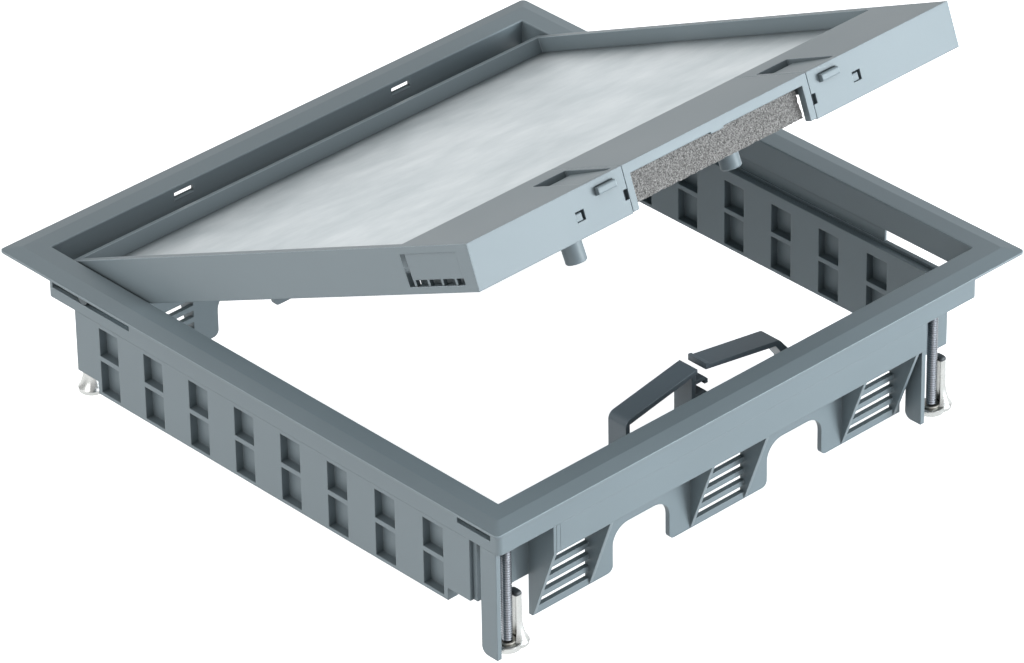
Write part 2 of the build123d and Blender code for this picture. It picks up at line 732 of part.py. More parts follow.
with BuildPart() as lid_tray:
    lid_profile(
        -lid_half_width, lid_half_width,
        ((0, 0), (lid_depth, 0), (lid_depth, lid_height), (lid_draft, lid_height)),
    )
    heel_edges = lid_tray.edges().filter_by(Axis.X).sort_by(Axis.Y)[-2:].sort_by(Axis.Z)[:1]
    fillet(heel_edges, lid_heel_radius)
    inside = lid_half_width - lid_wall
    # Recess for the steel plate
    lid_block(-inside, inside, lid_rim_depth, lid_depth - lid_back_rim, -margin, floor_top, Mode.SUBTRACT)
    # Hollow underside behind the step wall, and the hollow front rim
    lid_block(-inside, inside, lid_rim_depth, lid_depth - lid_wall, floor_bottom, lid_height + margin,
              Mode.SUBTRACT)
    lid_profile(
        -inside, inside,
        ((lid_wall, lid_skin), (step_front, lid_skin), (step_front, lid_height + margin),
         (lid_wall + lid_draft, lid_height + margin)),
        Mode.SUBTRACT,
    )
    lid_block(-inside, inside, step_front - margin, lid_rim_depth + margin, floor_bottom, lid_height + margin,
              Mode.SUBTRACT)
    # Stiffening ribs under the floor
    for rib_step in (-1, 0, 1):
        rib_x = rib_step * lid_rib_pitch
        lid_block(rib_x - lid_rib / 2, rib_x + lid_rib / 2, lid_rim_depth, lid_depth - lid_wall,
                  floor_bottom, lid_rib_bottom)
        rib_depth = (lid_rim_depth + lid_depth) / 2 + rib_step * lid_rib_pitch
        lid_block(-inside, inside, rib_depth - lid_rib / 2, rib_depth + lid_rib / 2,
                  floor_bottom, lid_rib_bottom)
    # Cut-out for the cord flap, with a cheek on each side that holds the flap's pins
    for side in (-1, 1):
        near = side * cut_half_width
        far = side * cheek_outer
        lid_block(min(near, far), max(near, far), lid_draft, lid_rim_depth, 0, cheek_bottom)
    lid_block(-cut_half_width, cut_half_width, -margin, lid_rim_depth + margin,
              -margin, flap_swing_room, Mode.SUBTRACT)
    lid_block(-cut_half_width, cut_half_width, -margin, flap_bar_depth + lid_draft + margin,
              -margin, lid_height + margin, Mode.SUBTRACT)
    with BuildSketch(Plane.YZ.offset(-cheek_outer)):
        with Locations((at_depth(flap_pivot_depth), below(flap_pivot_below))):
            Circle(flap_pin_radius + running_gap)
    extrude(amount=2 * cheek_outer, mode=Mode.SUBTRACT)
    for side in (-1, 1):
        # Small notch in the seam beside the flap
        near = side * (cut_half_width - margin)
        far = side * (flap_half_width + notch_width)
        lid_block(min(near, far), max(near, far), -margin, lid_wall, notch_top, notch_bottom, Mode.SUBTRACT)
        # Windows for the latch nose and the thumb ramp
        latch_x = side * latch_centre
        nose_half = nose_width / 2 + nose_window_gap
        lid_block(latch_x - nose_half, latch_x + nose_half, -margin, lid_wall + lid_draft + margin,
                  nose_top - nose_window_gap, nose_bottom + nose_window_gap, Mode.SUBTRACT)
        thumb_half = thumb_width / 2 + slide_gap
        lid_block(latch_x - thumb_half, latch_x + thumb_half, thumb_front, thumb_front + thumb_length,
                  -margin, lid_skin + margin / 2, Mode.SUBTRACT)
        # Rail with a lip beside and under the latch, on the side away from the flap
        rail_inner = thumb_half + latch_centre
        rail_low = min(side * rail_inner, side * (rail_inner + rail_thickness))
        lid_block(rail_low, rail_low + rail_thickness, lid_wall, step_front, lid_skin,
                  slide_bottom + slide_gap + rail_lip)
        lip_low = min(side * (rail_inner - rail_lip), side * (rail_inner + rail_thickness))
        lid_block(lip_low, lip_low + rail_lip + rail_thickness, lid_wall + lid_draft, slide_back,
                  slide_bottom + slide_gap, slide_bottom + slide_gap + rail_lip)
        # Square window with a small hook behind it
        hook_x = side * window_x
        lid_block(hook_x - window_width / 2, hook_x + window_width / 2, -margin, lid_wall + lid_draft,
                  window_top, window_bottom, Mode.SUBTRACT)
        lid_block(hook_x - window_width / 2 - margin, hook_x + window_width / 2 - window_hook,
                  lid_wall + lid_draft / 2, lid_wall + lid_draft + window_hook, window_top - margin,
                  window_bottom - margin)
        # Opening for the side blank
        wall_in = side * (inside - margin)
        wall_out = side * (lid_half_width + margin)
        lid_block(min(wall_in, wall_out), max(wall_in, wall_out), blank_front, blank_back,
                  blank_top, blank_bottom, Mode.SUBTRACT)
        # Boss and bore for the hinge pin
        boss_out = side * inside
        boss_in = side * (inside - pin_boss_length)
        with BuildSketch(Plane.YZ.offset(min(boss_out, boss_in))):
            with Locations((pin_closed_y, pin_z)):
                Circle(pin_boss_radius)
        extrude(amount=pin_boss_length)
    with BuildSketch(Plane.YZ.offset(-lid_half_width - margin)):
        with Locations((pin_closed_y, pin_z)):
            Circle(pin_radius + running_gap)
    extrude(amount=2 * lid_half_width + 2 * margin, mode=Mode.SUBTRACT)
lid_tray.part.move(lid_at_rest)
save(lid_tray, "lid_tray")

# Steel plate in the recess

with BuildPart() as lid_plate:
    plate_half = lid_half_width - lid_wall - plate_gap
    lid_block(-plate_half, plate_half, lid_rim_depth + plate_gap, lid_depth - lid_back_rim - plate_gap,
              lid_recess, floor_top)
    fillet(lid_plate.edges().filter_by(Axis.Z), plate_corner)
lid_plate.part.move(lid_at_rest)
save(lid_plate, "lid_plate")

# Hinge pins: a journal in the lid's side wall, and a round head that runs in the guide slot

for side, side_name in ((-1, "left"), (1, "right")):
    with BuildPart() as hinge_pin:
        pin_inner = lid_half_width - lid_wall - pin_boss_length
        head_start = opening_half + pin_head_gap
        with BuildSketch(Plane.YZ.offset(side * pin_inner)):
            with Locations((pin_rest_y, pin_z)):
                Circle(pin_radius)
        extrude(amount=side * (collar_half - pin_head_gap - pin_inner))
        with BuildSketch(Plane.YZ.offset(side * head_start)):
            with Locations((pin_rest_y, pin_z)):
                Circle(pin_head_radius)
        extrude(amount=side * (collar_half - pin_head_gap - head_start))
    save(hinge_pin, "hinge_pin_" + side_name)

# Side blanks: panels that break out for a cable, held by a row of small teeth

for side, side_name in ((-1, "left"), (1, "right")):
    with BuildPart() as side_blank:
        panel_out = side * (lid_half_width - blank_inset)
        panel_in = side * (lid_half_width - blank_inset - blank_thickness)
        panel_low = min(panel_out, panel_in)
        lid_block(panel_low, panel_low + blank_thickness, blank_front + blank_gap, blank_back - blank_back_gap,
                  blank_top, blank_bottom - blank_lower_gap)
        for tooth in range(blank_teeth):
            tooth_depth = blank_first_tooth + tooth * blank_tooth_pitch
            lid_block(panel_low, panel_low + blank_thickness, tooth_depth - blank_tooth / 2,
                      tooth_depth + blank_tooth / 2, blank_bottom - blank_lower_gap, blank_bottom)
    side_blank.part.move(lid_at_rest)
    save(side_blank, "side_blank_" + side_name)

# Lid feet: two round feet under the tray's floor

with BuildPart() as lid_feet:
    with BuildSketch(Plane.XY.offset(below(foot_bottom))):
        with Locations((-foot_x, at_depth(foot_left_depth)), (foot_x, at_depth(foot_right_depth))):
            Circle(foot_radius)
    extrude(amount=foot_bottom - floor_bottom)
    chamfer(lid_feet.edges().group_by(Axis.Z)[0], foot_chamfer)
lid_feet.part.move(lid_at_rest)
save(lid_feet, "lid_feet")

# Cord flap: rim plate with a front bar and two legs, hinged along its back edge

with BuildPart() as cord_flap:
    bar_draft = lid_draft * flap_bar / lid_height
    leg_draft = lid_draft * flap_leg_bottom / lid_height
    tab_draft = lid_draft * (flap_bar + flap_tab_drop) / lid_height
    lid_profile(
        -flap_half_width, flap_half_width,
        ((0, 0), (lid_rim_depth - flap_back_gap, 0), (lid_rim_depth - flap_back_gap, lid_skin),
         (flap_bar_depth, lid_skin), (flap_bar_depth, flap_bar), (bar_draft, flap_bar)),
    )
    for leg_x in (-flap_half_width, flap_half_width - flap_leg):
        lid_profile(
            leg_x, leg_x + flap_leg,
            ((0, 0), (flap_bar_depth, 0), (flap_bar_depth + leg_draft, flap_leg_bottom),
             (leg_draft, flap_leg_bottom)),
        )
    lid_profile(
        -flap_tab_width / 2, flap_tab_width / 2,
        ((0, 0), (flap_bar_depth, 0), (flap_bar_depth, flap_bar + flap_tab_drop),
         (tab_draft, flap_bar + flap_tab_drop)),
    )
    with BuildSketch(Plane.YZ.offset(-flap_half_width - flap_pin_length)):
        with Locations((at_depth(flap_pivot_depth), below(flap_pivot_below))):
            Circle(flap_pin_radius)
    extrude(amount=2 * (flap_half_width + flap_pin_length))
cord_flap.part.move(lid_at_rest)
save(cord_flap, "cord_flap")

# Foam seal behind the flap's bar, between its legs

with BuildPart() as foam_seal:
    foam_front = flap_bar_depth + lid_draft
    lid_block(-foam_half_width, foam_half_width, foam_front, foam_front + foam_depth, lid_skin, foam_bottom)
foam_seal.part.move(lid_at_rest)
save(foam_seal, "foam_seal")

# Latches: a slide with a thumb ramp and a nose, and a bow spring behind it

slide_half = thumb_width / 2
for side, side_name in ((-1, "left"), (1, "right")):
    latch_x = side * latch_centre
    with BuildPart() as latch_slide:
        slide_front = lid_wall + lid_draft
        ramp_end = thumb_front + thumb_length - latch_travel - slide_gap
        lid_profile(
            latch_x - slide_half, latch_x + slide_half,
            ((slide_front, thumb_flush), (ramp_end, thumb_deep), (slide_back, thumb_deep),
             (slide_back, slide_bottom), (slide_front, slide_bottom)),
        )
        lid_block(latch_x - nose_width / 2, latch_x + nose_width / 2, -nose_reach, slide_front,
                  nose_top, nose_bottom)
        nose_edges = latch_slide.edges().filter_by(Axis.X).sort_by(Axis.Y)[:2]
        fillet(nose_edges, nose_corner)
    latch_slide.part.move(lid_at_rest)
    save(latch_slide, "latch_slide_" + side_name)

    with BuildPart() as latch_spring:
        crown = slide_back + spring_gap + spring_strip / 2
        seat = step_front - spring_strip / 2
        bow = ThreePointArc(
            (latch_x - spring_span / 2, at_depth(seat)),
            (latch_x, at_depth(crown)),
            (latch_x + spring_span / 2, at_depth(seat)),
            mode=Mode.PRIVATE,
        )
        with BuildSketch(Plane.XY.offset(below(slide_bottom))):
            SlotArc(bow, spring_strip)
        extrude(amount=slide_bottom - thumb_deep)
    latch_spring.part.move(lid_at_rest)
    save(latch_spring, "latch_spring_" + side_name)
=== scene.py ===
# Floor service outlet, dressed for the camera: moulded frame and lid, steel cover plate,
# zinc clamps, foam seal and sprung latches, in the order in which they go together.

import math

import bmesh
import bpy
from mathutils import Matrix, Vector, noise


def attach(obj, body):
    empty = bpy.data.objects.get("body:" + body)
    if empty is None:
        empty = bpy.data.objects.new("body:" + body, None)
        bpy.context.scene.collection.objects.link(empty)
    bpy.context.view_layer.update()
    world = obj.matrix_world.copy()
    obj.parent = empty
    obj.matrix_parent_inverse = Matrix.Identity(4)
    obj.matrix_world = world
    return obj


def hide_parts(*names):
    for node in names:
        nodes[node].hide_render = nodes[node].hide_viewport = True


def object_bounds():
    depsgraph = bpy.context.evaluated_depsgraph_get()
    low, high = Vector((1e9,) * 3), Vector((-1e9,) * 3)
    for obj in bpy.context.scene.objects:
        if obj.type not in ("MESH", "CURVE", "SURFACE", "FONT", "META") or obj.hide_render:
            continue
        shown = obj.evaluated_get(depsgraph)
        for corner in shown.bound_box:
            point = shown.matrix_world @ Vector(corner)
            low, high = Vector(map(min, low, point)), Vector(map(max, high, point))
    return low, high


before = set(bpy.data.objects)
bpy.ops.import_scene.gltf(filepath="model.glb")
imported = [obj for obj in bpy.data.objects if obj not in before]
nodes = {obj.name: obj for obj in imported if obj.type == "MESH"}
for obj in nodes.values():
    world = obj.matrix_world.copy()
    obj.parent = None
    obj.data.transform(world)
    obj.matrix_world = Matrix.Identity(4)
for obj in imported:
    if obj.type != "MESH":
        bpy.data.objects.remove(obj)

cad_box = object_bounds()
corner_names = ("front_left", "front_right", "back_right", "back_left")


# Studio: the camera stands in front of the near corner, well away, with a long lens.
# The floor and the room are white. A low lamp on the right gives the raised lid's front its sheen,
# and the other soft lamps light the walls and the rims.

def linear(hex_colour):
    """The linear RGBA of an sRGB hex colour."""
    channels = [int(hex_colour[place:place + 2], 16) / 255 for place in (1, 3, 5)]
    return [c / 12.92 if c <= 0.04045 else ((c + 0.055) / 1.055) ** 2.4 for c in channels] + [1.0]


def add_node(tree, kind, sockets=(), **settings):
    """Adds a node with its settings, and gives its sockets a value each or a link from another node."""
    new = tree.nodes.new(kind)
    for name, value in settings.items():
        setattr(new, name, value)
    for socket, value in dict(sockets).items():
        if isinstance(value, bpy.types.NodeSocket):
            tree.links.new(value, new.inputs[socket])
        else:
            new.inputs[socket].default_value = value
    return new


def new_material(name):
    """A material with an empty tree and an output."""
    material = bpy.data.materials.new(name)
    material.use_nodes = True
    material.node_tree.nodes.clear()
    output = material.node_tree.nodes.new("ShaderNodeOutputMaterial")
    return material, material.node_tree, output


camera_azimuth = math.radians(-43.03)
camera_elevation = math.radians(32.23)
camera_roll = math.radians(-0.96)
camera_place = Vector((-1.34688, -1.44268, 1.21022))
focal_pixels = 6365.2
image_width = 1024
sensor_width = 36.0
back = Vector((
    math.sin(camera_azimuth) * math.cos(camera_elevation),
    -math.cos(camera_azimuth) * math.cos(camera_elevation),
    math.sin(camera_elevation),
))
level_right = Vector((0, 0, 1)).cross(back).normalized()
level_up = back.cross(level_right)
right = level_right * math.cos(camera_roll) + level_up * math.sin(camera_roll)
up = level_up * math.cos(camera_roll) - level_right * math.sin(camera_roll)
camera_data = bpy.data.cameras.new("camera")
camera_data.sensor_width = sensor_width
camera_data.lens = focal_pixels / image_width * sensor_width
camera_data.clip_end = 20
camera = bpy.data.objects.new("camera", camera_data)
bpy.context.scene.collection.objects.link(camera)
turn = Matrix((right, up, back)).transposed().to_4x4()
camera.matrix_world = Matrix.Translation(camera_place) @ turn
bpy.context.scene.camera = camera
bpy.context.scene.view_settings.view_transform = "Standard"

world = bpy.data.worlds.new("studio")
bpy.context.scene.world = world
world.use_nodes = True
world_tree = world.node_tree
world_tree.nodes.clear()
ray = add_node(world_tree, "ShaderNodeLightPath")
# The camera sees pure white, and glossy faces mirror part of it
mirrored_share = 0.65
mirrored = add_node(world_tree, "ShaderNodeMath", {0: ray.outputs["Is Glossy Ray"], 1: mirrored_share},
                    operation="MULTIPLY")
seen = add_node(world_tree, "ShaderNodeMath", {0: ray.outputs["Is Camera Ray"], 1: mirrored.outputs[0]},
                operation="MAXIMUM")
room_light = add_node(world_tree, "ShaderNodeBackground", {"Color": linear("#F4F7FA"), "Strength": 0.38})
room_white = add_node(world_tree, "ShaderNodeBackground", {"Color": linear("#FFFFFF"), "Strength": 1.0})
room = add_node(world_tree, "ShaderNodeMixShader",
                {0: seen.outputs[0], 1: room_light.outputs[0], 2: room_white.outputs[0]})
add_node(world_tree, "ShaderNodeOutputWorld", {"Surface": room.outputs[0]})


def lamp(name, place, size, power, colour):
    """A square soft lamp that looks at the middle of the floor outlet."""
    data = bpy.data.lights.new(name, "AREA")
    data.shape = "SQUARE"
    data.size = size
    data.energy = power
    data.color = linear(colour)[:3]
    lamp_object = bpy.data.objects.new(name, data)
    bpy.context.scene.collection.objects.link(lamp_object)
    lamp_object.location = place
    direction = -Vector(place)
    lamp_object.rotation_euler = direction.to_track_quat("-Z", "Y").to_euler()


lamp("low_right_lamp", (1.15, -1.61, 0.27), 0.9, 40.0, "#F0FAFF")
lamp("front_lamp", (0.25, -1.5, 0.75), 0.9, 6.5, "#F3F8FF")
lamp("side_lamp", (-1.5, 0.1, 0.6), 1.0, 8.8, "#FFFFFF")
lamp("top_lamp", (0.1, 0.3, 1.7), 1.2, 4.2, "#FFFFFF")
lamp("back_lamp", (-1.0, 1.1, 1.2), 1.0, 4.0, "#FFFFFF")

floor_gap = 0.0005
floor_height = cad_box[0][2] - floor_gap
floor_mesh = bpy.data.meshes.new("floor")
floor_reach = 6.0
floor_mesh.from_pydata(
    [(-floor_reach, -floor_reach, floor_height), (floor_reach, -floor_reach, floor_height),
     (floor_reach, floor_reach, floor_height), (-floor_reach, floor_reach, floor_height)],
    [], [(0, 1, 2, 3)])
floor_object = bpy.data.objects.new("floor", floor_mesh)
bpy.context.scene.collection.objects.link(floor_object)
floor_material, tree, output = new_material("white studio floor")
ray = add_node(tree, "ShaderNodeLightPath")
seen = add_node(tree, "ShaderNodeMath", {0: ray.outputs["Is Camera Ray"], 1: ray.outputs["Is Glossy Ray"]},
                operation="MAXIMUM")
matt = add_node(tree, "ShaderNodeBsdfDiffuse", {"Color": linear("#F2F2F2")})
glow = add_node(tree, "ShaderNodeEmission", {"Color": linear("#FFFFFF"), "Strength": 0.9})
lit = add_node(tree, "ShaderNodeAddShader", {0: matt.outputs[0], 1: glow.outputs[0]})
mixed = add_node(tree, "ShaderNodeMixShader", {0: seen.outputs[0], 1: matt.outputs[0], 2: lit.outputs[0]})
tree.links.new(mixed.outputs[0], output.inputs["Surface"])
floor_mesh.materials.append(floor_material)


# Floor frame: flange, collar, walls and corner blades, one family of injection mouldings.
# Glass-filled polyamide in blue grey, matt from the spark-eroded mould, with soft moulded edges.

def moulded_polyamide(name, base, rough, edge_highlight):
    """Grey polyamide: a fine mould grain, faint clouds, a painted highlight on upward-facing edges and painted
    shade in the corners.
    """
    material, tree, output = new_material(name)
    place = add_node(tree, "ShaderNodeTexCoord").outputs["Object"]
    edge_radius = 0.0005
    corner_shade_reach = 0.006
    cloud_size = 0.045
    grain_size = 0.0009
    grain_height = 0.00006
    rounded = add_node(tree, "ShaderNodeBevel", {"Radius": edge_radius}, samples=6)
    true_normal = add_node(tree, "ShaderNodeNewGeometry").outputs["True Normal"]
    facing = add_node(tree, "ShaderNodeVectorMath", {0: rounded.outputs[0], 1: true_normal},
                      operation="DOT_PRODUCT").outputs["Value"]
    edge = add_node(tree, "ShaderNodeMapRange", {"Value": facing, "From Min": 1.0, "From Max": 0.8,
                                                 "To Min": 0.0, "To Max": 1.0}).outputs[0]
    clouds = add_node(tree, "ShaderNodeTexNoise", {"Vector": place, "Scale": 1 / cloud_size, "Detail": 3.0})
    cloud_colour = add_node(tree, "ShaderNodeMix", {
        0: clouds.outputs["Fac"], 6: linear(base[0]), 7: linear(base[1])}, data_type="RGBA").outputs[2]
    # Painted highlight: edges that face upwards are mixed towards the pale third colour
    rounded_rise = add_node(tree, "ShaderNodeSeparateXYZ", {0: rounded.outputs[0]}).outputs["Z"]
    upward_edge_highlight = add_node(tree, "ShaderNodeMapRange", {
        "Value": rounded_rise, "From Min": -0.02, "From Max": 0.04,
        "To Min": 0.0, "To Max": edge_highlight}).outputs[0]
    painted_highlight_mask = add_node(tree, "ShaderNodeMath", {0: edge, 1: upward_edge_highlight}, operation="MULTIPLY").outputs[0]
    highlighted_colour = add_node(tree, "ShaderNodeMix", {0: painted_highlight_mask, 6: cloud_colour, 7: linear(base[2])},
                             data_type="RGBA").outputs[2]
    # Painted shade: corners and crevices darken the colour down to 45 %
    corners = add_node(tree, "ShaderNodeAmbientOcclusion", {"Distance": corner_shade_reach}, samples=8)
    painted_corner_shade = add_node(tree, "ShaderNodeMapRange", {"Value": corners.outputs["AO"], "To Min": 0.45,
                                                        "To Max": 1.0}).outputs[0]
    final_colour = add_node(tree, "ShaderNodeMix", {0: 1.0, 6: highlighted_colour, 7: painted_corner_shade},
                            data_type="RGBA", blend_type="MULTIPLY").outputs[2]
    grain = add_node(tree, "ShaderNodeTexNoise",
                     {"Vector": place, "Scale": 1 / grain_size, "Detail": 2.0, "Roughness": 0.6})
    bump = add_node(tree, "ShaderNodeBump", {"Height": grain.outputs["Fac"], "Strength": 0.12,
                                             "Distance": grain_height, "Normal": rounded.outputs[0]})
    sheen = add_node(tree, "ShaderNodeMapRange", {"Value": clouds.outputs["Fac"], "To Min": rough - 0.05,
                                                  "To Max": rough + 0.05}).outputs[0]
    plastic = add_node(tree, "ShaderNodeBsdfPrincipled", {
        "Base Color": final_colour, "Roughness": sheen, "IOR": 1.53, "Normal": bump.outputs[0]})
    tree.links.new(plastic.outputs[0], output.inputs["Surface"])
    return material


def dress(names, material):
    """Gives carried-over nodes their finish."""
    for name in names:
        nodes[name].data.materials.clear()
        nodes[name].data.materials.append(material)


grey_polyamide = moulded_polyamide("blue-grey polyamide", ("#707C81", "#79858A", "#B9C7CE"), 0.46, 0.8)
dress(["frame_rim"], grey_polyamide)
# The walls get a fainter painted highlight on their upward-facing edges than the rim
wall_polyamide = moulded_polyamide("blue-grey polyamide, below the floor",
                                   ("#707C81", "#79858A", "#9FADB4"), 0.46, 0.25)
wall_nodes = ["side_wall_left", "side_wall_right", "end_wall_front", "end_wall_back"]
wall_nodes += ["corner_blade_" + corner for corner in corner_names]
dress(wall_nodes, wall_polyamide)


def moulded_bar(name, profile, start, length, placing, body, finish):
    """A moulding made by carrying a profile of (y, z) points along X, set in place on a body."""
    moulding = bmesh.new()
    ends = []
    for place_x in (start, start + length):
        ends.append([moulding.verts.new(placing @ Vector((place_x, place_y, place_z)))
                     for place_y, place_z in profile])
    count = len(profile)
    moulding.faces.new(ends[0])
    moulding.faces.new(list(reversed(ends[1])))
    for corner in range(count):
        following = (corner + 1) % count
        moulding.faces.new((ends[0][following], ends[0][corner], ends[1][corner], ends[1][following]))
    bmesh.ops.recalc_face_normals(moulding, faces=moulding.faces)
    data = bpy.data.meshes.new(name)
    moulding.to_mesh(data)
    moulding.free()
    data.materials.append(finish)
    piece = bpy.data.objects.new(name, data)
    bpy.context.scene.collection.objects.link(piece)
    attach(piece, body)


# Fin webs and keeper sills: a web joins the outer fin of each end wall to its band, and a sill
# with a bevelled lip half closes each keeper slot of the back collar. Moulded with the frame.

as_built = Matrix.Identity(4)
half_turn = Matrix.Rotation(math.pi, 4, "Z")
collar_face = 0.1200
band_back = 0.1180
band_foot = -0.0300
web_top = -0.0184
web_chamfer = 0.0010
web_left = -0.0928
web_width = 0.0020
for side_name, placing in (("front", as_built), ("back", half_turn)):
    moulded_bar("fin_web_" + side_name, (
        (-collar_face, web_top), (-collar_face, band_foot), (-band_back - web_chamfer, band_foot),
        (-band_back, band_foot + web_chamfer), (-band_back, web_top)),
        web_left, web_width, placing, "frame", wall_polyamide)
keeper_x = 0.0546
keeper_half = 0.00475
collar_inner = 0.1184
sill_foot = -0.0040
sill_top = -0.0027
sill_chamfer = 0.0005
for side, side_name in ((-1, "left"), (1, "right")):
    moulded_bar("keeper_sill_" + side_name, (
        (collar_inner, sill_foot), (collar_face, sill_foot), (collar_face, sill_top),
        (collar_inner + sill_chamfer, sill_top), (collar_inner, sill_top - sill_chamfer)),
        side * keeper_x - keeper_half, 2 * keeper_half, as_built, "frame", grey_polyamide)


# Cable bridge and gate: springy clips on the front wall's inner face that hold the cables down.
# Dark grey polyamide without glass, a little smoother than the frame.

dark_polyamide = moulded_polyamide("dark grey polyamide", ("#69747B", "#727D84", "#8C979F"), 0.42, 0.5)
dress(["cable_bridge", "gate_pivot", "cable_gate"], dark_polyamide)


# Clamp screws: M4 machine screws that hang from the corner shelves.
# Zinc-plated steel; the thread's roots carry painted shade, so its crests read bright and its roots dark. Its
# turns are drawn 1 mm apart, where M4 has 0.7 mm, because finer ones don't show at this distance.

def plated_metal(name, base, rough, patch_size, groove_shade_reach=0.001, groove_shade_tone=0.6):
    """Plated metal: a bright coat with cloudy patches in its gloss, and painted shade in narrow grooves."""
    material, tree, output = new_material(name)
    place = add_node(tree, "ShaderNodeTexCoord").outputs["Object"]
    patches = add_node(tree, "ShaderNodeTexNoise", {"Vector": place, "Scale": 1 / patch_size, "Detail": 4.0})
    tint = add_node(tree, "ShaderNodeMix", {
        0: patches.outputs["Fac"], 6: linear(base[0]), 7: linear(base[1])}, data_type="RGBA").outputs[2]
    gloss = add_node(tree, "ShaderNodeMapRange", {"Value": patches.outputs["Fac"], "To Min": rough - 0.06,
                                                  "To Max": rough + 0.08}).outputs[0]
    # Painted shade: narrow grooves darken the coat
    grooves = add_node(tree, "ShaderNodeAmbientOcclusion", {"Distance": groove_shade_reach}, samples=12)
    painted_groove_shade = add_node(tree, "ShaderNodeMapRange", {"Value": grooves.outputs["AO"], "From Min": 0.35,
                                                  "To Min": groove_shade_tone, "To Max": 1.0}).outputs[0]
    coat = add_node(tree, "ShaderNodeMix", {0: 1.0, 6: tint, 7: painted_groove_shade}, data_type="RGBA",
                    blend_type="MULTIPLY").outputs[2]
    metal = add_node(tree, "ShaderNodeBsdfPrincipled", {
        "Base Color": coat, "Metallic": 1.0, "Roughness": gloss})
    tree.links.new(metal.outputs[0], output.inputs["Surface"])
    return material


# Painted shade: the thread's roots darken almost to black
zinc_steel = plated_metal("zinc-plated steel", ("#A9ADB4", "#C3C7CD"), 0.3, 0.003,
                          groove_shade_reach=0.0009, groove_shade_tone=0.05)
screw_places = {
    "front_left": (-0.1115, -0.1142, 0),
    "front_right": (0.1029, -0.1142, 0),
    "back_right": (0.1115, 0.1142, 0),
    "back_left": (-0.1029, 0.1142, 0),
}
screw_tree = bpy.data.node_groups.new("rolled clamp screw", "GeometryNodeTree")
screw_sizes = {
    "Head Seat": -0.0177,
    "Rod Length": 0.0448,
    "Crest Radius": 0.002,
    "Thread Pitch": 0.001,
    "Head Radius": 0.0036,
    "Head Wall": 0.0012,
    "Head Crown": 0.0006,
    "Drive Width": 0.0011,
    "Drive Span": 0.004,
    "Drive Depth": 0.0011,
}
place_socket = screw_tree.interface.new_socket(name="Place", in_out="INPUT", socket_type="NodeSocketVector")
for size_name, size in screw_sizes.items():
    size_socket = screw_tree.interface.new_socket(name=size_name, in_out="INPUT", socket_type="NodeSocketFloat")
    size_socket.default_value = size
finish_socket = screw_tree.interface.new_socket(name="Finish", in_out="INPUT", socket_type="NodeSocketMaterial")
screw_tree.interface.new_socket(name="Screw", in_out="OUTPUT", socket_type="NodeSocketGeometry")
given = screw_tree.nodes.new("NodeGroupInput").outputs


def reckoned(tree, first, second, operation="ADD"):
    """One arithmetic step between two sockets or values."""
    return add_node(tree, "ShaderNodeMath", {0: first, 1: second}, operation=operation).outputs[0]


# The thread is one coil whose square section stands on its corner, so its turns meet at the root
thread_depth = reckoned(screw_tree, given["Thread Pitch"], 2.0, "DIVIDE")
thread_centre = reckoned(screw_tree, given["Crest Radius"], thread_depth, "SUBTRACT")
full_turns = reckoned(screw_tree, given["Rod Length"], given["Thread Pitch"], "DIVIDE")
turns = reckoned(screw_tree, full_turns, 2.0, "SUBTRACT")
coil_height = reckoned(screw_tree, turns, given["Thread Pitch"], "MULTIPLY")
coil = add_node(screw_tree, "GeometryNodeCurveSpiral", {
    "Resolution": 22, "Rotations": turns, "Start Radius": thread_centre, "End Radius": thread_centre,
    "Height": coil_height})
coil_upright = add_node(screw_tree, "GeometryNodeSetCurveNormal", {"Curve": coil.outputs[0]}, mode="Z_UP")
section = add_node(screw_tree, "GeometryNodeCurvePrimitiveCircle", {"Resolution": 4, "Radius": thread_depth})
thread = add_node(screw_tree, "GeometryNodeCurveToMesh", {
    "Curve": coil_upright.outputs[0], "Profile Curve": section.outputs[0], "Fill Caps": True})
rod_foot = reckoned(screw_tree, given["Head Seat"], given["Rod Length"], "SUBTRACT")
thread_foot = add_node(screw_tree, "ShaderNodeCombineXYZ",
                       {"Z": reckoned(screw_tree, rod_foot, given["Thread Pitch"])}).outputs[0]
thread_placed = add_node(screw_tree, "GeometryNodeTransform",
                         {"Geometry": thread.outputs[0], "Translation": thread_foot})
core = add_node(screw_tree, "GeometryNodeMeshCylinder", {
    "Vertices": 40, "Radius": reckoned(screw_tree, thread_centre, 1.02, "MULTIPLY"),
    "Depth": given["Rod Length"]})
core_middle = reckoned(screw_tree, rod_foot, reckoned(screw_tree, given["Rod Length"], 2.0, "DIVIDE"))
core_placed = add_node(screw_tree, "GeometryNodeTransform", {
    "Geometry": core.outputs[0],
    "Translation": add_node(screw_tree, "ShaderNodeCombineXYZ", {"Z": core_middle}).outputs[0]})
# The head: a round wall, a low crown and the cross recess
wall = add_node(screw_tree, "GeometryNodeMeshCylinder", {
    "Vertices": 56, "Radius": given["Head Radius"], "Depth": given["Head Wall"]})
wall_middle = reckoned(screw_tree, given["Head Seat"], reckoned(screw_tree, given["Head Wall"], 2.0, "DIVIDE"))
wall_placed = add_node(screw_tree, "GeometryNodeTransform", {
    "Geometry": wall.outputs[0],
    "Translation": add_node(screw_tree, "ShaderNodeCombineXYZ", {"Z": wall_middle}).outputs[0]})
crown_radius = reckoned(screw_tree, given["Head Radius"], given["Head Crown"], "SUBTRACT")
crown = add_node(screw_tree, "GeometryNodeMeshCone", {
    "Vertices": 56, "Radius Top": crown_radius, "Radius Bottom": given["Head Radius"],
    "Depth": given["Head Crown"]})
crown_foot = reckoned(screw_tree, given["Head Seat"], given["Head Wall"])
crown_placed = add_node(screw_tree, "GeometryNodeTransform", {
    "Geometry": crown.outputs[0],
    "Translation": add_node(screw_tree, "ShaderNodeCombineXYZ", {"Z": crown_foot}).outputs[0]})
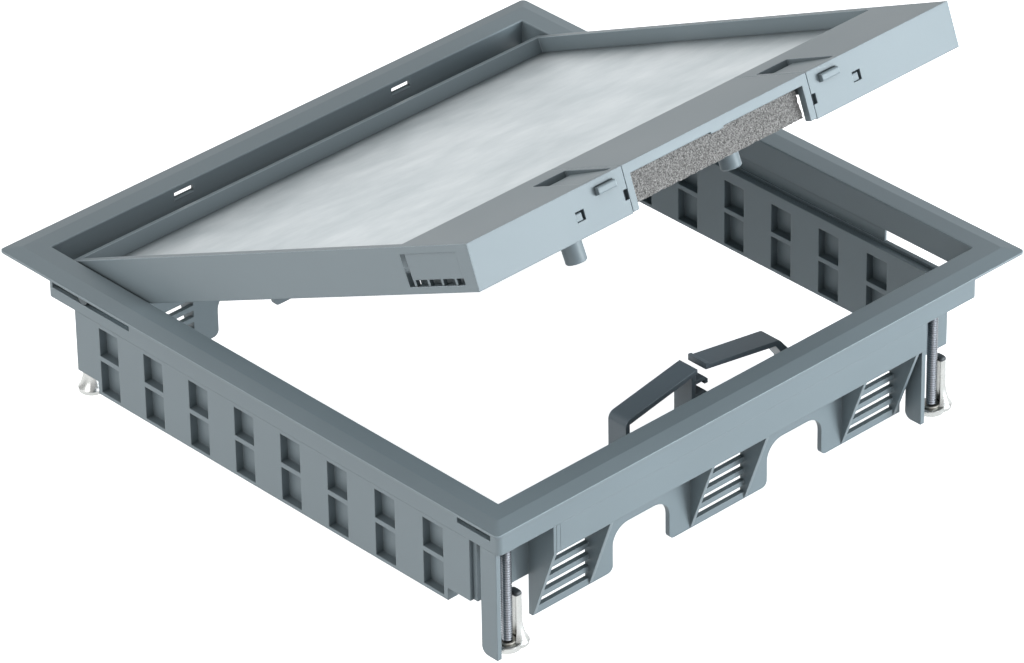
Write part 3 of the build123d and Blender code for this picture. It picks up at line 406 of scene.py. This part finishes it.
head = add_node(screw_tree, "GeometryNodeMeshBoolean", {
    "Mesh 2": wall_placed.outputs[0]}, operation="UNION")
screw_tree.links.new(crown_placed.outputs[0], head.inputs["Mesh 2"])
head_top = reckoned(screw_tree, crown_foot, given["Head Crown"])
wing_size = reckoned(screw_tree, given["Drive Depth"], 2.0, "MULTIPLY")
cross = []
for long_side, short_side in (("X", "Y"), ("Y", "X")):
    wing = add_node(screw_tree, "GeometryNodeMeshCube", {
        "Size": add_node(screw_tree, "ShaderNodeCombineXYZ", {
            long_side: given["Drive Span"], short_side: given["Drive Width"], "Z": wing_size}).outputs[0]})
    cross.append(add_node(screw_tree, "GeometryNodeTransform", {
        "Geometry": wing.outputs[0],
        "Translation": add_node(screw_tree, "ShaderNodeCombineXYZ", {"Z": head_top}).outputs[0]}).outputs[0])
recessed = add_node(screw_tree, "GeometryNodeMeshBoolean", {"Mesh 1": head.outputs[0], "Mesh 2": cross[0]},
                    operation="DIFFERENCE")
screw_tree.links.new(cross[1], recessed.inputs["Mesh 2"])
whole = add_node(screw_tree, "GeometryNodeJoinGeometry", {0: thread_placed.outputs[0]})
screw_tree.links.new(core_placed.outputs[0], whole.inputs[0])
screw_tree.links.new(recessed.outputs[0], whole.inputs[0])
standing = add_node(screw_tree, "GeometryNodeTransform", {
    "Geometry": whole.outputs[0], "Translation": given["Place"]})
realized = add_node(screw_tree, "GeometryNodeRealizeInstances", {"Geometry": standing.outputs[0]})
finished = add_node(screw_tree, "GeometryNodeSetMaterial", {
    "Geometry": realized.outputs[0], "Material": given["Finish"]})
add_node(screw_tree, "NodeGroupOutput", {0: finished.outputs[0]})

for corner in corner_names:
    blank = bpy.data.objects.new("screw blank " + corner, bpy.data.meshes.new("screw blank " + corner))
    bpy.context.scene.collection.objects.link(blank)
    rolling = blank.modifiers.new("thread rolling", "NODES")
    rolling.node_group = screw_tree
    rolling[place_socket.identifier] = screw_places[corner]
    rolling[finish_socket.identifier] = zinc_steel
    rolled = bpy.data.meshes.new_from_object(blank.evaluated_get(bpy.context.evaluated_depsgraph_get()))
    bpy.data.objects.remove(blank)
    rolled.set_sharp_from_angle(angle=math.radians(35))
    screw = bpy.data.objects.new("threaded_screw_" + corner, rolled)
    bpy.context.scene.collection.objects.link(screw)
    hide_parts("clamp_screw_" + corner)
    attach(screw, "screw_" + corner)


# Clamp bushes: round threaded bushes, one in the foot of each claw, that climb the screw.
# Turned from brass bar and nickel plated, so they are as pale as the casting, only warmer.

plated_brass = plated_metal("nickel-plated brass", ("#A6A49D", "#B8B6AE"), 0.3, 0.002)
ring_points = 48
claw_foot = -0.0630


def cast_form(name, rings, centre, foot):
    """A closed form through level rings, each a circle or a softly squared section."""
    form = bmesh.new()
    levels = []
    for height, half_width, half_depth, squareness in rings:
        level = []
        for step in range(ring_points):
            turn_angle = 2 * math.pi * step / ring_points
            swing_x, swing_y = math.cos(turn_angle), math.sin(turn_angle)
            level.append(form.verts.new((
                centre[0] + half_width * math.copysign(abs(swing_x) ** (2 / squareness), swing_x),
                centre[1] + half_depth * math.copysign(abs(swing_y) ** (2 / squareness), swing_y),
                foot + height)))
        levels.append(level)
    form.faces.new(list(reversed(levels[0])))
    form.faces.new(levels[-1])
    for lower, upper in zip(levels, levels[1:]):
        for step in range(ring_points):
            following = (step + 1) % ring_points
            form.faces.new((lower[step], lower[following], upper[following], upper[step]))
    data = bpy.data.meshes.new(name)
    form.to_mesh(data)
    form.free()
    made = bpy.data.objects.new(name, data)
    bpy.context.scene.collection.objects.link(made)
    return made


def machined(blank, cuts, finish):
    """Joins a blank with other forms or cuts them out, and gives it its finish, smooth on round faces."""
    for tool, work in cuts:
        cutting = blank.modifiers.new("machining", "BOOLEAN")
        cutting.operation = work
        cutting.object = tool
    worked = bpy.data.meshes.new_from_object(blank.evaluated_get(bpy.context.evaluated_depsgraph_get()))
    blank.modifiers.clear()
    blank.data = worked
    for tool, _ in cuts:
        bpy.data.objects.remove(tool)
    worked.materials.clear()
    worked.materials.append(finish)
    worked.shade_smooth()
    worked.set_sharp_from_angle(angle=math.radians(38))


round_section = 2.0


def round_rings(*outline):
    """Rings for cast_form from (height above the foot, radius) pairs."""
    return [(height, radius, radius, round_section) for height, radius in outline]


bush_rings = round_rings(
    (0.0000, 0.0036), (0.0002, 0.0038), (0.0008, 0.0038), (0.0010, 0.0033), (0.0030, 0.0033), (0.0033, 0.0030))
tapping_radius = 0.0016
tapping_rings = round_rings((-0.001, tapping_radius), (0.01, tapping_radius))
for corner in corner_names:
    screw_place = screw_places[corner][:2]
    bush = cast_form("turned_bush_" + corner, bush_rings, screw_place, claw_foot)
    tapping = cast_form("tapping " + corner, tapping_rings, screw_place, claw_foot)
    machined(bush, ((tapping, "DIFFERENCE"),), plated_brass)
    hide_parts("clamp_nut_" + corner)
    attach(bush, "nut_" + corner)


# Clamp claws: die-cast zinc feet that swing out under the floor plate, nickel plated and bright.
# The post flares smoothly into a round foot. Like the photo's, this claw ends 3.8 mm higher than
# the solid that it stands for.

nickel_casting = plated_metal("nickel-plated zinc casting", ("#AEAFAD", "#C2C3C0"), 0.26, 0.004)
claw_axis = 0.0040
claw_bore = 0.00335
flange_bore = 0.00385
claw_rings = (
    # height above the foot, half width, half depth, squareness of the section
    (0.0000, 0.0043, 0.0045, 2.0),
    (0.0003, 0.0048, 0.0050, 2.0),
    (0.0017, 0.0049, 0.0051, 2.0),
    (0.0021, 0.0045, 0.0048, 2.0),
    (0.0036, 0.0036, 0.0042, 2.0),
    (0.0056, 0.0027, 0.0035, 2.4),
    (0.0078, 0.0020, 0.0028, 3.2),
    (0.0098, 0.0017, 0.0024, 4.5),
    (0.0208, 0.0016, 0.0023, 4.5),
)
hub_rings = round_rings((0.0000, 0.0047), (0.0003, 0.0051), (0.0022, 0.0052), (0.0025, 0.0049))
bore_rings = round_rings(
    (-0.0010, flange_bore), (0.0011, flange_bore), (0.0012, claw_bore), (0.0300, claw_bore))


def post_place(corner):
    """Where the axis of a claw's post stands, inwards of its screw."""
    screw_x, screw_y = screw_places[corner][:2]
    return screw_x + (claw_axis if corner.startswith("front") else -claw_axis), screw_y


for corner in corner_names:
    screw_place = screw_places[corner][:2]
    claw = cast_form("cast_claw_" + corner, claw_rings, post_place(corner), claw_foot)
    hub = cast_form("hub " + corner, hub_rings, screw_place, claw_foot)
    bore = cast_form("bore " + corner, bore_rings, screw_place, claw_foot)
    machined(claw, ((hub, "UNION"), (bore, "DIFFERENCE")), nickel_casting)
    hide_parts("clamp_claw_" + corner)
    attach(claw, "claw_" + corner)


# Claw caps: soft plastic buttons pressed on the top of each claw's post, rounded at the rim.
# Black polyamide, the only black pieces on the clamps.

black_polyamide = moulded_polyamide("black polyamide", ("#34383B", "#3C4144", "#565C60"), 0.5, 0.3)
cap_rings = (
    (0.0000, 0.0016, 0.0023, 4.5),
    (0.0004, 0.0017, 0.0024, 4.0),
    (0.0011, 0.0015, 0.0022, 3.5),
    (0.0015, 0.0010, 0.0015, 2.6),
)
cap_foot = -0.0422
for corner in corner_names:
    cap = cast_form("soft_cap_" + corner, cap_rings, post_place(corner), cap_foot)
    cap.data.materials.append(black_polyamide)
    cap.data.shade_smooth()
    cap.data.set_sharp_from_angle(angle=math.radians(50))
    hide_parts("claw_cap_" + corner)
    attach(cap, "claw_" + corner)


# Hinge pins: plain steel pins whose round heads run in the guide slots of the collar.
# Zinc-phosphated and oiled for the sliding, which leaves them a dull dark grey.

phosphated_steel = plated_metal("phosphated steel", ("#4C5154", "#5A6063"), 0.5, 0.002)
dress(["hinge_pin_left", "hinge_pin_right"], phosphated_steel)


# Lid tray and its mouldings: the same polyamide as the frame. The tray is one moulding with ribs
# underneath; the blanks, feet, flap and latches snap or slide into it.

dress(["lid_tray", "side_blank_left", "side_blank_right", "lid_feet", "cord_flap",
       "latch_slide_left", "latch_slide_right"], grey_polyamide)


# Backing rails and catches: small grey mouldings inside the front rim. A rail behind each side
# blank takes its teeth, and a sprung catch stands behind each square window, its nose in it.

lid_angle = 25.1
pin_height = -0.0116
pin_closed = 0.1146
pin_at_rest = 0.100293
lid_turn = Matrix.Rotation(math.radians(-lid_angle), 4, "X")
lid_at_rest = (Matrix.Translation((0, pin_at_rest, pin_height)) @ lid_turn
               @ Matrix.Translation((0, -pin_closed, -pin_height)))
lid_front = -0.1174
lid_top = 0.0022


def lid_moulding(name, profile, start, length, body="lid"):
    """A moulding on the raised lid: its profile has (depth behind the front edge, drop below the top)."""
    moulded_bar(name, [(lid_front + depth, lid_top - drop) for depth, drop in profile],
                start, length, lid_at_rest, body, grey_polyamide)


rail_inset = 0.0036
rail_thickness = 0.0012
rail_front = 0.0080
rail_back = 0.0366
rail_top = 0.0112
rail_foot = 0.0171
rail_lead = 0.0012
lid_half_width = 0.1175
for side, side_name in ((-1, "left"), (1, "right")):
    rail_x = side * (lid_half_width - rail_inset) - (rail_thickness if side > 0 else 0)
    lid_moulding("backing_rail_" + side_name, (
        (rail_front + rail_lead, rail_top), (rail_back, rail_top), (rail_back, rail_foot),
        (rail_front, rail_foot), (rail_front, rail_top + rail_lead)), rail_x, rail_thickness)

window_x = 0.0676
catch_lead = 0.0030
catch_width = 0.0085
nose_lead = 0.0019
nose_width = 0.0027
catch_profile = (
    (0.0082, 0.0026), (0.0094, 0.0026), (0.0094, 0.0168), (0.0082, 0.0168), (0.0082, 0.0124),
    (0.0032, 0.0118), (0.0029, 0.0115), (0.0029, 0.0078), (0.0032, 0.0075), (0.0082, 0.0069))
nose_profile = (
    (0.0010, 0.0086), (0.0010, 0.0111), (0.0013, 0.0114), (0.0030, 0.0115), (0.0030, 0.0082), (0.0013, 0.0083))
for side, side_name in ((-1, "left"), (1, "right")):
    lid_moulding("window_catch_" + side_name, catch_profile, side * window_x - catch_lead, catch_width)
    lid_moulding("catch_nose_" + side_name, nose_profile, side * window_x - nose_lead, nose_width)


# Thumb pads: a shallow ramp on each latch slide, nearly flush with the rim, that a thumb pushes
# back. Moulded in one with the slide, so the pad moves with it.

pad_front = 0.0034
pad_back = 0.0256
pad_half = 0.0072
pad_profile = (
    (pad_front, 0.00042), (pad_back - 0.0003, 0.0015), (pad_back, 0.0018), (pad_back, 0.0051),
    (pad_front, 0.0008))
for side, side_name in ((-1, "left"), (1, "right")):
    lid_moulding("thumb_pad_" + side_name, pad_profile, side * keeper_x - pad_half, 2 * pad_half,
                 "latch_" + side_name)


# Cover plate: galvanised steel sheet laid in the lid's recess. The zinc bath leaves soft clouds,
# and the mill faint streaks along the sheet.

cover_steel, tree, output = new_material("galvanised sheet")
bath_cloud_size = 0.045
streak_size = 0.012
streak_stretch = (0.6, 1.0, 1.0)
place = add_node(tree, "ShaderNodeTexCoord").outputs["Object"]
bath_clouds = add_node(tree, "ShaderNodeTexNoise", {
    "Vector": place, "Scale": 1 / bath_cloud_size, "Detail": 3.0})
rolled_place = add_node(tree, "ShaderNodeVectorMath", {0: place, 1: streak_stretch},
                        operation="MULTIPLY").outputs[0]
rolled_streaks = add_node(tree, "ShaderNodeTexNoise", {
    "Vector": rolled_place, "Scale": 1 / streak_size, "Detail": 5.0, "Roughness": 0.6})
mottle = add_node(tree, "ShaderNodeMix", {
    0: 0.45, 2: bath_clouds.outputs["Fac"], 3: rolled_streaks.outputs["Fac"]}, data_type="FLOAT").outputs[0]
zinc_tone = add_node(tree, "ShaderNodeValToRGB", {"Fac": mottle})
zinc_tone.color_ramp.elements[0].position = 0.36
zinc_tone.color_ramp.elements[0].color = linear("#BAC3C6")
zinc_tone.color_ramp.elements[1].position = 0.64
zinc_tone.color_ramp.elements[1].color = linear("#D7DDDF")
zinc_gloss = add_node(tree, "ShaderNodeMapRange", {"Value": mottle, "To Min": 0.34, "To Max": 0.5}).outputs[0]
# Near the recess wall the sheet's colour is darkened: painted shade and a painted reflection of the dark collar
wall_shade_reach = 0.025
near_wall_shade = add_node(tree, "ShaderNodeAmbientOcclusion", {"Distance": wall_shade_reach}, samples=12)
painted_wall_shade = add_node(tree, "ShaderNodeMapRange", {"Value": near_wall_shade.outputs["AO"], "From Min": 0.45,
                                                "To Min": 0.4, "To Max": 1.0}).outputs[0]
shaded_zinc = add_node(tree, "ShaderNodeMix", {0: 1.0, 6: zinc_tone.outputs["Color"], 7: painted_wall_shade},
                  data_type="RGBA", blend_type="MULTIPLY").outputs[2]
sheet = add_node(tree, "ShaderNodeBsdfPrincipled", {
    "Base Color": shaded_zinc, "Metallic": 1.0, "Roughness": zinc_gloss})
tree.links.new(sheet.outputs[0], output.inputs["Surface"])
dress(["lid_plate"], cover_steel)


# Foam seal: a block of recycled open-cell foam, glued behind the flap's bar so that cables
# press into it. Its flakes of grey foam give the speckle.

foam_material, tree, output = new_material("speckled foam")
speckle_size = 0.0005
place = add_node(tree, "ShaderNodeTexCoord").outputs["Object"]
speckle = add_node(tree, "ShaderNodeTexNoise", {"Vector": place, "Scale": 1 / speckle_size, "Detail": 3.0})
foam_ramp = add_node(tree, "ShaderNodeValToRGB", {"Fac": speckle.outputs["Fac"]})
foam_ramp.color_ramp.elements[0].position = 0.38
foam_ramp.color_ramp.elements[0].color = linear("#5F5D5B")
foam_ramp.color_ramp.elements[1].position = 0.66
foam_ramp.color_ramp.elements[1].color = linear("#A19E9B")
pores = add_node(tree, "ShaderNodeBump", {
    "Height": speckle.outputs["Fac"], "Strength": 0.6, "Distance": speckle_size})
sponge = add_node(tree, "ShaderNodeBsdfPrincipled", {
    "Base Color": foam_ramp.outputs["Color"], "Roughness": 0.95, "Normal": pores.outputs[0]})
tree.links.new(sponge.outputs[0], output.inputs["Surface"])

# The block is cut flat from the sheet, so only its open pores and torn edges break the faces.
foam_low = Vector((-0.0416, -0.1131, -0.0133))
foam_high = Vector((0.0416, -0.1031, -0.0002))
foam_step = 0.00055
pore_depth = 0.00045
coarse_pore = 0.0013
fine_pore = 0.0006
foam_mesh = bmesh.new()
foam_points = {}


def foam_point(spot):
    """The corner at this spot, made once for all the faces that share it."""
    key = tuple(round(value, 7) for value in spot)
    if key not in foam_points:
        foam_points[key] = foam_mesh.verts.new(spot)
    return foam_points[key]


for across in range(3):
    along, beside = (across + 1) % 3, (across + 2) % 3
    span = foam_high - foam_low
    rows, columns = round(span[along] / foam_step), round(span[beside] / foam_step)
    for level in (foam_low[across], foam_high[across]):
        for row in range(rows):
            for column in range(columns):
                corners = []
                for row_step, column_step in ((0, 0), (1, 0), (1, 1), (0, 1)):
                    spot = Vector((0, 0, 0))
                    spot[across] = level
                    spot[along] = foam_low[along] + span[along] * (row + row_step) / rows
                    spot[beside] = foam_low[beside] + span[beside] * (column + column_step) / columns
                    corners.append(foam_point(spot))
                if level == foam_low[across]:
                    corners.reverse()
                foam_mesh.faces.new(corners)
foam_mesh.normal_update()
foam_middle = (foam_low + foam_high) / 2
for point in foam_points.values():
    cells = noise.noise(point.co / coarse_pore) + 0.6 * noise.noise(point.co / fine_pore)
    pit = pore_depth * max(0.0, cells + 0.25)
    point.co = lid_at_rest @ (point.co - point.normal * pit)
foam_data = bpy.data.meshes.new("foam block")
foam_mesh.to_mesh(foam_data)
foam_mesh.free()
foam_data.materials.append(foam_material)
foam_block = bpy.data.objects.new("foam_block", foam_data)
bpy.context.scene.collection.objects.link(foam_block)
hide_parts("foam_seal")
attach(foam_block, "flap")


# Latch springs: bowed strips of spring steel between each latch and the step behind it.
# Left blank and a little oiled, so they are darker than the zinc.

spring_steel = plated_metal("blank spring steel", ("#8E9296", "#A2A6AA"), 0.35, 0.002)
dress(["latch_spring_left", "latch_spring_right"], spring_steel)
